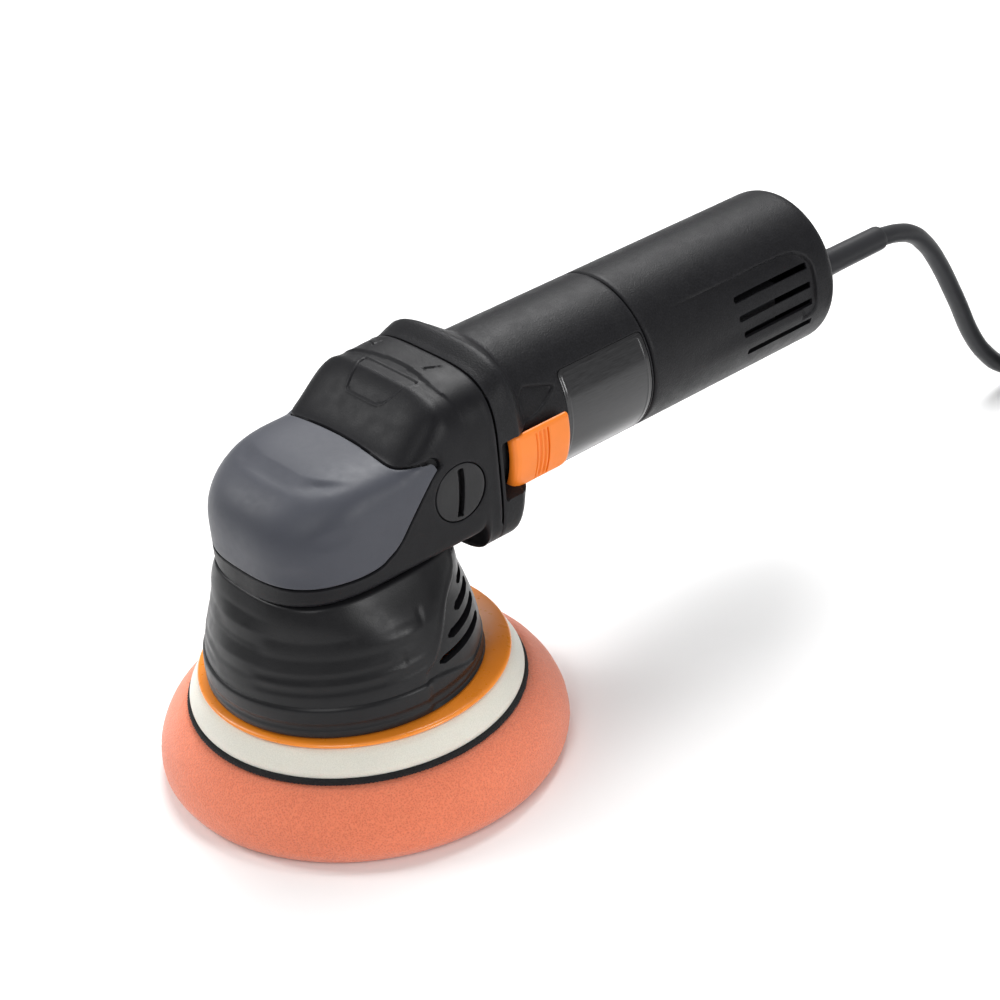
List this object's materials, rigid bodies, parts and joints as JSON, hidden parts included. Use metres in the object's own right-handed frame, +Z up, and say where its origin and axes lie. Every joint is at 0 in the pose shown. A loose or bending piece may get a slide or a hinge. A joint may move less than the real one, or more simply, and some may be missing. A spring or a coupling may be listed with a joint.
{
  "type": "dual-action polisher",
  "caption": "Corded dual-action polisher with right-angle head, bell shroud, offset backing plate, foam pad, slide switch and round handle.",
  "frame": {"origin": "where the drive spindle's axis meets the foam pad's lower face, on the surface the tool stands on", "axes": "+Z up along the spindle's axis, +Y along the handle towards the cord, +X towards the side with the slide switch"},
  "size_m": [0.2301, 0.5307, 0.1485],
  "materials": {
    "housing_black": "fine-textured black glass-filled nylon",
    "case_black": "fine-textured black paint on cast magnesium",
    "cover_gray": "satin soft-touch elastomer",
    "shroud_black": "satin rubberised plastic",
    "plug_black": "satin moulded screw plug",
    "label_dark": "blank brushed dark plate under clear lacquer",
    "switch_orange": "satin moulded plastic",
    "plate_orange": "satin moulded polyurethane",
    "foam_coral": "open-cell polyurethane foam",
    "foam_cream": "dense closed-cell foam",
    "hook_black": "woven hook tape",
    "steel": "machined steel",
    "zinc_screw": "zinc-plated steel",
    "cast_alloy": "die-cast aluminium",
    "balance_iron": "machined casting",
    "laminated_steel": "varnished laminations",
    "copper": "enamelled copper",
    "brass": "stamped brass",
    "carbon": "pressed carbon",
    "phenolic": "moulded phenolic",
    "board_green": "circuit board",
    "cord_rubber": "smooth black rubber sheath"
  },
  "bodies": {
    "housing": {"gear_case": "case_black", "head_cover": "cover_gray", "case_bottom_plate": "cast_alloy", "head_screws": "zinc_screw", "shroud": "shroud_black", "handle_socket_plugs": "plug_black", "spindle_bearing_lower": "steel", "spindle_bearing_upper": "steel", "bearing_circlip": "steel", "motor_housing": "housing_black", "flange_screws": "zinc_screw", "rear_housing": "housing_black", "rear_screws": "zinc_screw", "label_plate": "label_dark", "fan_baffle": "housing_black", "stator_core": "laminated_steel", "field_coils": "copper", "motor_bearing_front": "steel", "motor_bearing_rear": "steel", "brush_bridge": "phenolic", "brush_holders": "brass", "carbon_brushes": "carbon", "brush_springs": "steel", "switch_module": "housing_black", "speed_board": "board_green", "cord_clamp": "phenolic", "clamp_screws": "zinc_screw", "cord_boot": "cord_rubber", "power_cord": "cord_rubber", "cord_coil": "cord_rubber", "cord_tie": "cord_rubber", "plug_body": "cord_rubber", "plug_pins": "brass"},
    "spindle": {"spindle": "steel", "ring_gear": "steel", "eccentric_hub": "balance_iron", "pad_bearings": "steel"},
    "pad": {"pad_spindle": "steel", "pad_bolt": "zinc_screw", "backing_plate": "plate_orange", "plate_foam": "foam_cream", "hook_disc": "hook_black", "foam_pad": "foam_coral"},
    "armature": {"armature_shaft": "steel", "armature_core": "laminated_steel", "armature_winding": "copper", "commutator": "copper", "cooling_fan": "housing_black", "pinion": "steel"},
    "switch": {"switch_slider": "switch_orange", "switch_rod": "housing_black"},
    "speed_dial": {"speed_dial": "housing_black"}
  },
  "joints": [
    {"name": "spindle_spin", "type": "hinge", "parent": "housing", "child": "spindle", "pos_m": [0, 0, 0.09], "axis": [0, 0, 1], "continuous": true},
    {"name": "armature_spin", "type": "hinge", "parent": "housing", "child": "armature", "pos_m": [0, 0.1, 0.113], "axis": [0, 1, 0], "continuous": true},
    {"name": "pad_spin", "type": "hinge", "parent": "spindle", "child": "pad", "pos_m": [-0.00171, 0.0047, 0.06], "axis": [0, 0, 1], "continuous": true},
    {"name": "switch_slide", "type": "slide", "parent": "housing", "child": "switch", "axis": [0, -1, 0], "range_m": [0, 0.0045]},
    {"name": "dial_turn", "type": "hinge", "parent": "housing", "child": "speed_dial", "pos_m": [-0.017, 0.218, 0.113], "axis": [1, 0, 0], "range_deg": [0, 270]}
  ],
  "couplings": [
    {"joint": "armature_spin", "follows": "spindle_spin", "ratio": 4}
  ]
}
